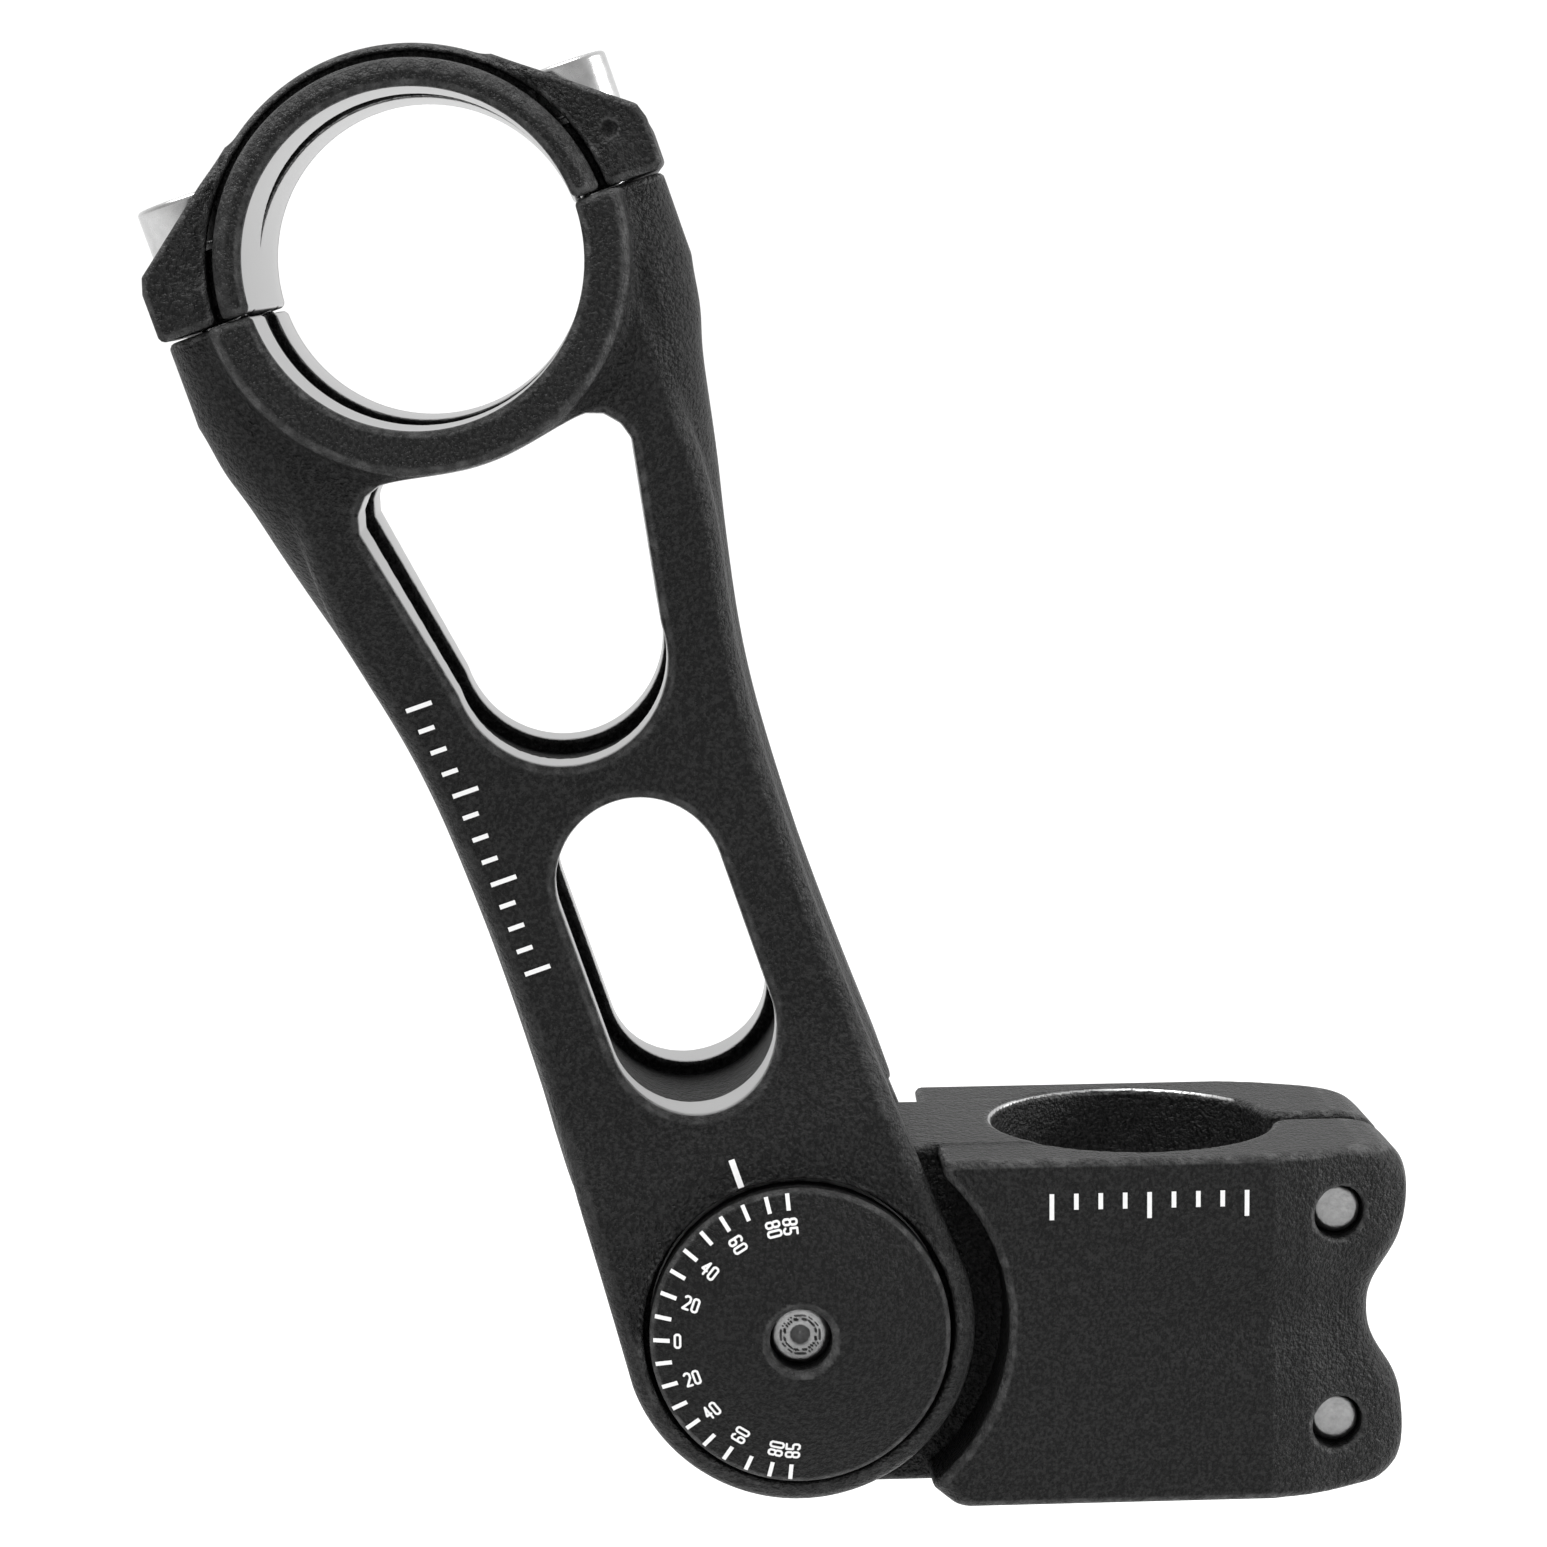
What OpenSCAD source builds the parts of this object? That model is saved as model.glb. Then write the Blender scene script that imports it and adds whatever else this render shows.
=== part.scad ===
// Adjustable handlebar stem: a pivoting forged arm with a removable bar clamp cap,
// carried on a short steerer clamp between two toothed lock discs.
// Frame: +Z up along the steerer, -X forward to the handlebar, origin at the centre
// of the steerer bore on the bottom face. The arm is drawn standing straight up from
// its pivot and then leaned forward by arm_lean.

/* [Steerer clamp] */
// bore for the steerer tube
steerer_d = 28.6; // [28.4:0.1:28.8]
// height of the clamp body
clamp_h = 35; // [34:0.5:37]
// distance from the flat side of the body to the steerer axis
flank_y = 17.4; // [17:0.1:18]
// width of the pinch slot at the back
slot_w = 3; // [2:0.5:4]
// distance of the pinch bolts behind the steerer axis
pinch_x = 18.6; // [18.3:0.1:19]
// height of the middle between the two pinch bolts
pinch_z = 17.8; // [17.5:0.1:18]
// height of the two pinch bolts above and below that
pinch_dz = 10.7; // [10.4:0.1:10.9]

/* [Pivot] */
// distance of the pivot in front of the steerer axis
pivot_out = 35; // [34:0.5:37]
// height of the pivot
pivot_z = 18.5; // [17.5:0.5:19]
// half width of the clamp lug between the two ears
lug_y = 10; // [9.5:0.1:10.4]
// radius of the round lug end
lug_r = 17; // [16:0.1:17.2]
// radius of the relief in the clamp body around the ears
relief_r = 20.7; // [20:0.1:21]
// radius of the arm ears
ear_r = 17.3; // [17:0.1:17.6]
// distance of the ear outer face from the middle
ear_y = 18; // [17.6:0.1:18.4]
// radius of the dial disc and the lock disc
disc_r = 14.7; // [14.2:0.1:14.8]
// radius of the disc hubs the ears turn on
hub_r = 9; // [8.6:0.1:9.2]
// distance of the top of the domed disc faces from the middle
dome_y = 21.5; // [21:0.1:22]
// number of face teeth on each disc
teeth = 36; // [24:12:48]

/* [Arm] */
// distance from the pivot to the handlebar axis
arm_len = 110; // [108:0.5:114]
// forward lean of the arm from upright
arm_lean = 18.6; // [6:0.1:60]
// half width of the arm at its waist
waist_w = 15; // [14.6:0.1:15.6]
// half thickness of the arm at its waist
waist_t = 13.6; // [12.6:0.1:14.6]

/* [Bar clamp] */
// bore for the handlebar
bar_d = 31.8; // [31.6:0.1:32]
// width of the bar clamp
bar_w = 43; // [42:0.5:46]
// outer radius of the clamp ring on the arm
ring_r = 20.2; // [20:0.1:20.6]
// gap between the arm and the cap
part_gap = 0.3; // [0.3:0.1:1.2]
// sideways distance of the cap bolts from the bar axis
bolt_u = 19.1; // [19:0.1:19.6]
// distance of the cap bolts from the middle plane
bolt_y = 13.5; // [12.5:0.1:14]

/* [Hidden] */
$fn = 96;
fit = 0.05;
bar_r = bar_d / 2;
steerer_r = steerer_d / 2;
half_w = bar_w / 2;
part_v = arm_len + 0.15;
cap_v = part_v + part_gap;
column_v = arm_len - 25;
seat_v = arm_len + 7.2;
washer_t = 0.5;
m5_r = 2.5;
m5_head_r = 4.25;
m5_head_h = 5;
m6_r = 3;
m6_head_r = 5;
m6_head_h = 6;
bore_lip = 0.5;
ridge_y = 17.8;
ridge_r = 20.1;
boss_y = 19.3;
boss_u = 25;
lip_r = 19.1;
floor_y = 13.5;
ring_base = 0.8;
tooth_h = 0.8;
tooth_gap = 0.05;
tip_y = floor_y + ring_base + tooth_h + tooth_gap;
root_y = tip_y + tooth_h;
dome_r = 53;
rim_y = dome_y - dome_r + sqrt(dome_r * dome_r - disc_r * disc_r);
head_y = dome_y - 6.4;
bolt_end_y = 18.9;
key_af = 13;
key_y0 = 7.4;
pocket_y = 4.4;
fork_v = 18.7;
top_w = 24.8;
flare = 0.125;
flare_v = arm_len - 46.5;
flare_soft = 11;
pinch_half = 15;
pinch_seat = 9;
lobe_r = 7.6;
waist_x = 22.3;
rear_x = 26.8;
lug_base = 0.6;
limit_lean = 10;
limit_fold = 25;
ink = 0.05;
dial_step = 9.62;
dial_end = 85.3;
tick_r = 13.55;
zero_r = 12;
numeral_r = 11.25;
pen = 0.22;
digit_pitch = 0.43;
mark_w = 0.45;
long_mark = 2.6;
short_mark = 1.6;

coat = [0.09, 0.09, 0.10];
steel = [0.75, 0.76, 0.78];
dark_steel = [0.35, 0.35, 0.37];
paint = [0.95, 0.95, 0.95];

// ---- helpers -------------------------------------------------------------

// a cylinder along Y between two Y values
module y_rod(r, y0, y1) translate([0, y0, 0]) rotate([-90, 0, 0]) cylinder(r = r, h = y1 - y0);

// a side outline (x, z) drawn through the body from y0 to y1
module y_plate(y0, y1) translate([0, y1, 0]) rotate([90, 0, 0]) linear_extrude(y1 - y0) children();

// a front outline (y, z) drawn along X from x0 to x1
module x_plate(x0, x1) translate([x0, 0, 0]) rotate([90, 0, 90]) linear_extrude(x1 - x0) children();

// a section (radius, y) turned about the Y axis
module y_turn() rotate([-90, 0, 0]) rotate_extrude() children();

// a rectangle with round corners, given by its limits
module soft_rect(x0, x1, y0, y1, r) {
    translate([x0 + r, y0]) square([x1 - x0 - 2 * r, y1 - y0]);
    translate([x0, y0 + r]) square([x1 - x0, y1 - y0 - 2 * r]);
    for (x = [x0 + r, x1 - r], y = [y0 + r, y1 - r]) translate([x, y]) circle(r = r);
}

// places its children at the pivot, upright or leaned with the arm
module at_pivot() translate([-pivot_out, 0, pivot_z]) children();
module on_arm() at_pivot() rotate([0, -arm_lean, 0]) children();

// repeats its children at the four cap bolts
module at_cap_bolts() for (u = [-bolt_u, bolt_u], y = [-bolt_y, bolt_y]) translate([u, y, 0]) children();

// smooth step from 0 to 1
function ease(s) = let (t = min(max(s, 0), 1)) t * t * (3 - 2 * t);

// heights above the pivot at which the side section of the arm is drawn
section_v = [0, for (v = [16:2:30]) v, for (v = [34:4:part_v - 2]) v, part_v];

// half width and half thickness of the arm at height v above the pivot
function arm_w(v) = min(top_w, waist_w + 2.2 * pow(max(46 - v, 0) / 46, 1.5)
    + flare * (v - flare_v + norm([v - flare_v, flare_soft])));
function arm_t(v) = v < 40 ? waist_t + (ear_y - waist_t) * ease((30 - v) / 12.7)
    : waist_t + 6 * ease(pow(min(max((v - 55) / 42, 0), 1), 1.3));

// ---- steerer clamp -------------------------------------------------------

// side of the body: a block with a notch between the two lobes round the pinch bolts
module clamp_side() {
    polygon([[-26, 5.4], [-20.2, 0.5], [-18.2, 0], [pinch_x + 2, 0], [pinch_x + 2, clamp_h], [-26, clamp_h]]);
    translate([0, pinch_z - pinch_dz]) square([waist_x, 2 * pinch_dz]);
    for (s = [-1, 1]) translate([pinch_x, pinch_z + s * pinch_dz]) circle(r = lobe_r);
    for (z = [5.2, clamp_h - 5.2]) translate([rear_x - 5.4, z]) circle(r = 5.2);
}

// plan of the body, narrowing round the pinch bolts
module clamp_plan() for (s = [0, 1]) mirror([0, s, 0]) polygon([[-26, 1], [-26, -22], [11.8, -22], [11.8, -17.6],
    [pinch_x, -pinch_half], [rear_x - 3.8, -13.6], [rear_x - 1, -12.2], [rear_x, -9.8], [rear_x, 1]]);

module clamp_block() intersection() {
    y_plate(-flank_y - 1, flank_y + 1) clamp_side();
    linear_extrude(clamp_h) clamp_plan();
    x_plate(-30, 30) soft_rect(-flank_y, flank_y, 0, clamp_h, 0.8);
}

// room for the ears at every angle of the arm
module ear_room() at_pivot() {
    y_rod(relief_r, lug_y - 0.4, flank_y + 2);
    for (s = [0, 1]) mirror([0, 0, s]) rotate([0, s > 0 ? -limit_fold : -limit_lean, 0])
        translate([-8, lug_y - 0.4, 0]) cube([8 + arm_w(14) + 0.35, flank_y + 2.6 - lug_y, 24]);
}

module lug() {
    intersection() {
        at_pivot() y_rod(lug_r, -lug_y, lug_y);
        translate([-60, -lug_y, 0]) cube([60, 2 * lug_y, clamp_h]);
    }
    translate([-pivot_out + 6, -lug_y, lug_base]) cube([pivot_out - 16, 2 * lug_y, clamp_h - lug_base]);
}

// hex pocket for one disc key, then the bolt hole
module key_pocket() at_pivot() y_plate(pocket_y, lug_y + 1)
    circle(d = (key_af + 2 * fit) / cos(30), $fn = 6);

module pinch_hole(z) translate([pinch_x, 0, z]) {
    y_rod(m5_r + fit, -flank_y, flank_y);
    y_rod(m5_head_r + 0.45, pinch_seat, flank_y + 1);
    y_rod(m5_r + 0.5, 0, pinch_seat + 1);
}

module steerer_clamp() color(coat) difference() {
    union() {
        difference() {
            clamp_block();
            ear_room();
            mirror([0, 1, 0]) ear_room();
        }
        lug();
    }
    translate([0, 0, -1]) cylinder(r = steerer_r, h = clamp_h + 2);
    for (z = [0, clamp_h]) translate([0, 0, z]) mirror([0, 0, z > 0 ? 0 : 1])
        translate([0, 0, -bore_lip]) cylinder(r1 = steerer_r, r2 = steerer_r + 2 * bore_lip, h = 2 * bore_lip);
    translate([steerer_r - 2, -slot_w / 2, -1]) cube([20, slot_w, clamp_h + 2]);
    for (s = [-1, 1]) pinch_hole(pinch_z + s * pinch_dz);
    key_pocket();
    mirror([0, 1, 0]) key_pocket();
    at_pivot() y_rod(m6_r + 0.3, -lug_y, lug_y);
}

// a socket head bolt standing on z = 0, head up
module socket_bolt(r, head_r, head_h, len, key) difference() {
    union() {
        rotate_extrude() polygon([[0, 0], [head_r, 0], [head_r, head_h - 0.6], [head_r - 0.6, head_h],
            [0, head_h]]);
        translate([0, 0, -len + 0.6]) cylinder(r = r, h = len);
        translate([0, 0, -len]) cylinder(r1 = r - 0.6, r2 = r, h = 0.6);
    }
    translate([0, 0, head_h * 0.45]) cylinder(d = key / cos(30), h = head_h, $fn = 6);
}

module pinch_bolt(z) color(steel) translate([pinch_x, pinch_seat, z]) rotate([-90, 0, 0])
    socket_bolt(m5_r, m5_head_r, m5_head_h, 22.2, 4);

module pinch_bolt_upper() pinch_bolt(pinch_z + pinch_dz);
module pinch_bolt_lower() pinch_bolt(pinch_z - pinch_dz);

// plain ruled marks on the side of the clamp
module clamp_scale() color(paint) for (i = [0:8]) let (h = i % 4 == 0 ? long_mark : short_mark)
    translate([-10.4 + i * 2.4, -flank_y - ink, clamp_h - 3.4 - h]) cube([mark_w, ink, h]);

// ---- arm -----------------------------------------------------------------

module arm_outline() polygon([
    for (v = [2:4:part_v]) [arm_w(v), v], [arm_w(part_v), part_v],
    [-arm_w(part_v), part_v], for (v = [2:4:part_v]) let (h = 2 + 4 * floor((part_v - 2) / 4) - (v - 2))
        [-arm_w(h), h]]);

module arm_section() polygon([
    for (v = section_v) [arm_t(v), v],
    for (i = [len(section_v) - 1:-1:0]) [-arm_t(section_v[i]), section_v[i]]]);

// the two windows, grown by g for the recess in their walls
module upper_window(g = 0) difference() {
    union() {
        translate([0, 69.5]) circle(r = 10.3 + g);
        polygon([[-10.2 - g, 69], [10.2 + g, 69], [13.6 + g, 87.6], [-13.6 - g, 87.6]]);
        polygon([[-13.6 - g, 87.5], [-13.1 - g, 89.2], [-11.9 - g, 90.6 + g * 0.6], [-10.3 - g * 0.6, 91.2 + g],
            [10.3 + g * 0.6, 91.2 + g], [11.9 + g, 90.6 + g * 0.6], [13.1 + g, 89.2], [13.6 + g, 87.5]]);
    }
    translate([0, arm_len]) circle(r = ring_r - g * 0.6);
}

module lower_window(g = 0) {
    for (v = [31.2, 46.5]) translate([0, v]) circle(r = 8.2 + g);
    translate([-8.2 - g, 31.2]) square([16.4 + 2 * g, 15.3]);
}

module arm_solid() {
    intersection() {
        y_plate(-22, 22) arm_outline();
        x_plate(-26, 26) arm_section();
    }
    y_turn() soft_rect(0.01, ear_r, -ear_y, ear_y, 1.2);
    translate([0, 0, arm_len]) y_turn() soft_rect(10, ring_r, -half_w, half_w, 1);
}

module arm() color(coat) on_arm() difference() {
    arm_solid();
    translate([0, 0, arm_len]) y_rod(bar_r, -half_w - 1, half_w + 1);
    translate([-30, -30, part_v]) cube([60, 60, 40]);
    y_plate(-25, 25) upper_window();
    y_plate(-25, 25) lower_window();
    y_plate(-7.5, 7.5) upper_window(1.4);
    y_plate(-9.5, 9.5) lower_window(1.4);
    translate([-30, -lug_y - 0.1, -30]) cube([60, 2 * lug_y + 0.2, 30 + fork_v]);
    y_rod(hub_r + fit, -ear_y - 1, ear_y + 1);
    for (s = [0, 1]) mirror([0, s, 0]) y_rod(disc_r + 0.6, floor_y, ear_y + 1);
    at_cap_bolts() translate([0, 0, part_v - 12.5]) cylinder(r = m5_r + fit, h = 20);
}

// one annulus of face teeth, from y0 to y1
module face_teeth(y0, y1, turn) y_plate(y0, y1) difference() {
    circle(r = disc_r - 0.4);
    circle(r = hub_r + 0.7);
    for (i = [0:teeth - 1]) rotate((i + turn) * 360 / teeth)
        translate([hub_r, 0]) polygon([[0, -0.42], [8, -0.68], [8, 0.68], [0, 0.42]]);
}

// steel tooth ring pressed into the floor of one ear
module tooth_ring() {
    y_plate(floor_y, floor_y + ring_base + 0.02) difference() {
        circle(r = disc_r - 0.1);
        circle(r = hub_r + 0.4);
    }
    face_teeth(floor_y + ring_base, floor_y + ring_base + tooth_h, 0);
}

module tooth_ring_right() color(dark_steel) on_arm() tooth_ring();
module tooth_ring_left() color(dark_steel) on_arm() mirror([0, 1, 0]) tooth_ring();

// a side outline printed on the near face of the arm
module arm_print() intersection() {
    y_plate(-half_w, -waist_t + 1) children();
    difference() {
        translate([0, -ink, 0]) x_plate(-20, 20) arm_section();
        x_plate(-26, 26) arm_section();
    }
}

// index line on the ear that reads the dial
module index_mark() color(paint) on_arm() arm_print() translate([-0.9, disc_r + 0.9]) square([0.6, 2.9]);

// plain ruled marks down the edge of the arm
module arm_scale() color(paint) on_arm() arm_print() for (i = [0:12]) let (v = 41.5 + 2.35 * i)
    translate([1.8 - arm_w(v), v]) square([i % 4 == 0 ? long_mark : short_mark, mark_w]);

// ---- bar cap -------------------------------------------------------------

// bolt bosses joined by a straight wall that runs up to the ring on each side
module cap_side() difference() {
    union() {
        translate([0, arm_len]) circle(r = ridge_r);
        polygon([[-boss_u, cap_v], [boss_u, cap_v], [boss_u, cap_v + 4.8], [boss_u - 0.5, arm_len + 6.8],
            [13.2, arm_len + 15.6], [-13.2, arm_len + 15.6], [0.5 - boss_u, arm_len + 6.8],
            [-boss_u, cap_v + 4.8]]);
    }
    translate([-30, -10]) square([60, cap_v + 10]);
}

module bar_cap() color(coat) on_arm() difference() {
    union() {
        y_plate(-ridge_y, ridge_y) cap_side();
        for (s = [0, 1]) mirror([s, 0, 0]) y_plate(-boss_y, boss_y) intersection() {
            cap_side();
            translate([14.5, arm_len]) square([16, 20]);
        }
        translate([0, 0, arm_len]) y_turn() soft_rect(12, lip_r, -half_w, half_w, 0.9);
    }
    translate([0, 0, arm_len]) y_rod(bar_r, -half_w - 1, half_w + 1);
    translate([-30, -30, 0]) cube([60, 60, cap_v]);
    at_cap_bolts() {
        cylinder(r = m5_r + 0.25, h = 200);
        translate([0, 0, seat_v]) cylinder(r = m5_head_r + 0.6, h = 20);
    }
}

module cap_washers() color(steel) on_arm() at_cap_bolts() translate([0, 0, seat_v]) difference() {
    cylinder(r = m5_head_r + 0.35, h = washer_t);
    translate([0, 0, -1]) cylinder(r = m5_r + 0.15, h = 3);
}

module cap_bolts() color(steel) on_arm() at_cap_bolts() translate([0, 0, seat_v + washer_t])
    socket_bolt(m5_r, m5_head_r, m5_head_h, 18, 4);

// ---- lock discs ----------------------------------------------------------

// ball whose skin is the domed face of the disc on the +Y side
module dome(grow = 0) translate([0, dome_y - dome_r, 0]) sphere(r = dome_r + grow);

// disc with face teeth, hub and hex key, on the +Y side
module disc_body() {
    intersection() {
        y_turn() polygon([[0, root_y], [disc_r, root_y], [disc_r, rim_y - 0.5],
            [disc_r - 0.5, rim_y + 0.25], [disc_r - 0.5, dome_y + 1], [0, dome_y + 1]]);
        dome();
    }
    face_teeth(tip_y, root_y + 0.02, 0.5);
    y_rod(hub_r, lug_y + 0.3, root_y + 0.5);
    y_plate(key_y0, lug_y + 0.4) circle(d = key_af / cos(30), $fn = 6);
}

module dial_disc() color(coat) at_pivot() mirror([0, 1, 0]) difference() {
    disc_body();
    y_rod(m6_r + fit, 0, dome_y + 1);
    y_turn() polygon([[0, dome_y - 1.2], [m6_r, dome_y - 1.2], [m6_r + 0.9, dome_y + 0.2], [0, dome_y + 0.2]]);
}

module lock_disc() color(coat) at_pivot() difference() {
    disc_body();
    y_rod(m6_r + 0.1, 0, dome_y + 1);
    y_rod(m6_head_r + 0.5, head_y - 0.8, dome_y + 1);
}

// turn of mark i on the dial: ten degree steps up to 80, then a last mark at 85
function dial_turn(i) = abs(i) < 9 ? i * dial_step : sign(i) * dial_end;

// outlines carried to the marks of the dial, cut to a thin skin of paint on its dome
module on_dial(i, r) rotate([0, dial_turn(i) + 180, 0]) translate([r, 0.6 - rim_y, 0])
    rotate([90, 0, 0]) linear_extrude(3) children();
module dial_print() color(paint) at_pivot() intersection() {
    children();
    mirror([0, 1, 0]) difference() {
        dome(ink);
        dome();
    }
}

module dial_ticks() dial_print() for (i = [-9:9]) on_dial(i, tick_r) square([1.6, 0.4], center = true);

// a numeral stroke between two points
module stroke(a, b) {
    translate(a) rotate(atan2(b[1] - a[1], b[0] - a[0])) translate([0, -pen / 2]) square([norm(b - a), pen]);
    for (p = [a, b]) translate(p) circle(d = pen, $fn = 8);
}

// numerals drawn on a grid of half width 0.26 and half height 0.64, with cut corners
function digit_grid(w, h, c) = [[-w, h - c], [c - w, h], [w - c, h], [w, h - c], [w, c], [w - c, 0],
    [w, -c], [w, c - h], [w - c, -h], [c - w, -h], [-w, c - h], [-w, -c], [c - w, 0], [-w, c], [-w, -h],
    [w, -h], [-w, h], [w, h], [w - c, h], [-w, -0.2], [w, -0.2], [w - c, -h], [-w, 0]];
function digit_path(n) = n == 0 ? [0, 1, 2, 3, 7, 8, 9, 10, 0] : n == 2 ? [0, 1, 2, 3, 4, 14, 15]
    : n == 4 ? [20, 19, 18, 21] : n == 5 ? [17, 16, 22, 5, 6, 7, 8, 9, 10]
    : n == 6 ? [3, 2, 1, 0, 10, 9, 8, 7, 6, 5, 12, 11]
    : [12, 13, 0, 1, 2, 3, 4, 5, 12, 11, 10, 9, 8, 7, 6, 5];
module digit(n) let (path = digit_path(n), grid = digit_grid(0.26, 0.64, 0.14))
    for (k = [0:len(path) - 2]) stroke(grid[path[k]], grid[path[k + 1]]);

module numeral(i) if (i == 0) digit(0); else {
    translate([-digit_pitch, 0]) digit(abs(i) == 9 ? 8 : abs(i));
    translate([digit_pitch, 0]) digit(abs(i) == 9 ? 5 : 0);
}

// each number reads along its own mark, inside the ring of ticks
module dial_numbers() dial_print() for (i = [-9, -8, -6, -4, -2, 0, 2, 4, 6, 8, 9])
    on_dial(i, i == 0 ? zero_r : numeral_r) rotate(180) numeral(i);

// pivot bolt, screwed through the lock disc, the lug and the dial disc
module pivot_bolt() color(steel) at_pivot() translate([0, head_y, 0]) rotate([-90, 0, 0])
    socket_bolt(m6_r, m6_head_r, m6_head_h, head_y + bolt_end_y, 5);

module pivot_washer() color(steel) at_pivot() difference() {
    y_rod(m6_head_r + 0.4, head_y - 0.8, head_y);
    y_rod(m6_r + 0.15, 0, 30);
}

// pair of coned spring washers that push one disc out of mesh
module spring() at_pivot() for (s = [0, 1]) translate([0, pocket_y + 1.5, 0]) mirror([0, s, 0])
    y_turn() polygon([[3.6, 0.75], [6, 0.02], [6, 0.62], [3.6, 1.35]]);

module spring_right() color(steel) spring();
module spring_left() color(steel) mirror([0, 1, 0]) spring();

steerer_clamp();
pinch_bolt_upper();
pinch_bolt_lower();
arm();
tooth_ring_left();
tooth_ring_right();
index_mark();
arm_scale();
bar_cap();
cap_washers();
cap_bolts();
dial_disc();
dial_ticks();
dial_numbers();
lock_disc();
pivot_bolt();
pivot_washer();
spring_left();
spring_right();
clamp_scale();
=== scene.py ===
"""Looks for the adjustable handlebar stem.

The forged bodies, discs and bolts are drawn as distance fields with the dimensions of part.scad, in
millimetres, meshed finely and put on their CAD bodies in metres. Every finish is procedural.
"""
import math

import bpy
import numpy as np
import openvdb
from mathutils import Matrix, Vector


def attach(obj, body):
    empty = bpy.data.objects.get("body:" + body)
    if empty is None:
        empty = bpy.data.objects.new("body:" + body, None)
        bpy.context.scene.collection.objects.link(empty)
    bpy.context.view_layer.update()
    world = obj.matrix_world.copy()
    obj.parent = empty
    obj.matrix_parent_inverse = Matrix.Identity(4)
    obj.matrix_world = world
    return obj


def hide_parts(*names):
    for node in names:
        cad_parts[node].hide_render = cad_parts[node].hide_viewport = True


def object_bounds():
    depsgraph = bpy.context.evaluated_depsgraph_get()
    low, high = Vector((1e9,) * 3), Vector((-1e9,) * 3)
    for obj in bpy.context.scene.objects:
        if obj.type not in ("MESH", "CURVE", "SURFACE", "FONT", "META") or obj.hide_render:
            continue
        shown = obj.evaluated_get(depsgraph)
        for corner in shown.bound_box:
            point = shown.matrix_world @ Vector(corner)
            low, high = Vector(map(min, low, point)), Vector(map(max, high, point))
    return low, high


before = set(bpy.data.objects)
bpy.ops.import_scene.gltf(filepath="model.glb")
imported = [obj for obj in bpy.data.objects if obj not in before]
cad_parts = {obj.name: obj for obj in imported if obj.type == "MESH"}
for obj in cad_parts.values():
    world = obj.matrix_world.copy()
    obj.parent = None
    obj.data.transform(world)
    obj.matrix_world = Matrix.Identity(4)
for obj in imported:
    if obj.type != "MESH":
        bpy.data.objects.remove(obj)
cad_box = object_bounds()

MM = 0.001
# the stem is held by its steerer tube, with room below it for the folded arm
FLOOR_DROP = 0.15

# dimensions shared with part.scad
STEERER_R, CLAMP_H, FLANK_Y, SLOT_W = 14.3, 35.0, 17.4, 3.0
PINCH_X, PINCH_Z, PINCH_DZ, PINCH_SEAT = 18.6, 17.8, 10.7, 9.0
LOBE_R, WAIST_X, REAR_X, LUG_BASE = 7.6, 22.3, 26.8, 0.6
PIVOT_OUT, PIVOT_Z, LUG_Y, LUG_R, RELIEF_R = 35.0, 18.5, 10.0, 17.0, 20.7
EAR_Y, DISC_R, HUB_R, TEETH = 18.0, 14.7, 9.0, 36
ARM_LEN, ARM_LEAN, WAIST_W, WAIST_T = 110.0, 18.6, 15.0, 13.6
TOP_W, FLARE, FLARE_V, FLARE_SOFT = 24.8, 0.125, 63.5, 11.0
BAR_R, HALF_W, RING_R, PART_GAP = 15.9, 21.5, 20.2, 0.3
BOLT_U, BOLT_Y = 19.1, 13.5
FIT, FLOOR_Y, FORK_V, LIMIT_LEAN, LIMIT_FOLD = 0.05, 13.5, 18.7, 10.0, 25.0
DOME_Y, DOME_R = 21.5, 53.0
HEAD_Y, BOLT_END_Y = DOME_Y - 6.4, 18.9
PART_V = ARM_LEN + 0.15
CAP_V = PART_V + PART_GAP
SEAT_V = ARM_LEN + 7.2
KEY_AF, KEY_Y0, POCKET_Y = 13.0, 7.4, 4.4
M5_R, M5_HEAD_R, M5_HEAD_H = 2.5, 4.25, 5.0
M6_R, M6_HEAD_R, M6_HEAD_H = 3.0, 5.0, 6.0
RIDGE_Y, RIDGE_R, LIP_R, BOSS_U = 17.8, 20.1, 19.1, 25.0
CAP_BOLT_LEN, PINCH_BOLT_LEN = 18.0, 22.2

# profile of the arm along v: swell and taper towards the ear, growth towards the bolt columns
SWELL, SWELL_V = 2.2, 46
TAPER_V, TAPER_LEN = 30, 12.7
GROW_T, GROW_V, GROW_LEN = 6, 55, 42
PLATE_W_MAX = 19.4
# end circles of the windows, and the machined recess in the middle of their walls and of the bores
UPPER_END_V, UPPER_END_R = 69.5, 10.3
LOWER_START_V, LOWER_END_V, LOWER_R = 31.2, 46.5, 8.2
UPPER_RECESS_Y, LOWER_RECESS_Y, WINDOW_RECESS = 7.5, 9.5, 1.4
BORE_RECESS_Y, BORE_RECESS = 7, 1.0
# how far the bare metal stays short of the faces of a bore
BARE_RIM = 1.1

# voxel sizes in millimetres: full, quick
FORGING_VOXEL, DISC_VOXEL, SCREW_VOXEL = (0.42, 0.6), (0.3, 0.45), (0.2, 0.3)
CAP_VOXEL_SCALE = 0.75

# coat: noise scales for the sandy grain, its coarser waves, the clouds and the patches of the painted edge
# highlight
GRAIN_FINE, GRAIN_COARSE, CLOUDS, HIGHLIGHT_PATCHES = 2600, 900, 60, 700
GRAIN_DEPTH, COAT_BASE, COAT_ROUGH, COAT_SPECULAR = 0.0005, 0.003, 0.42, 0.16
MACHINED_STRETCH = (500, 9000, 500)

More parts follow.
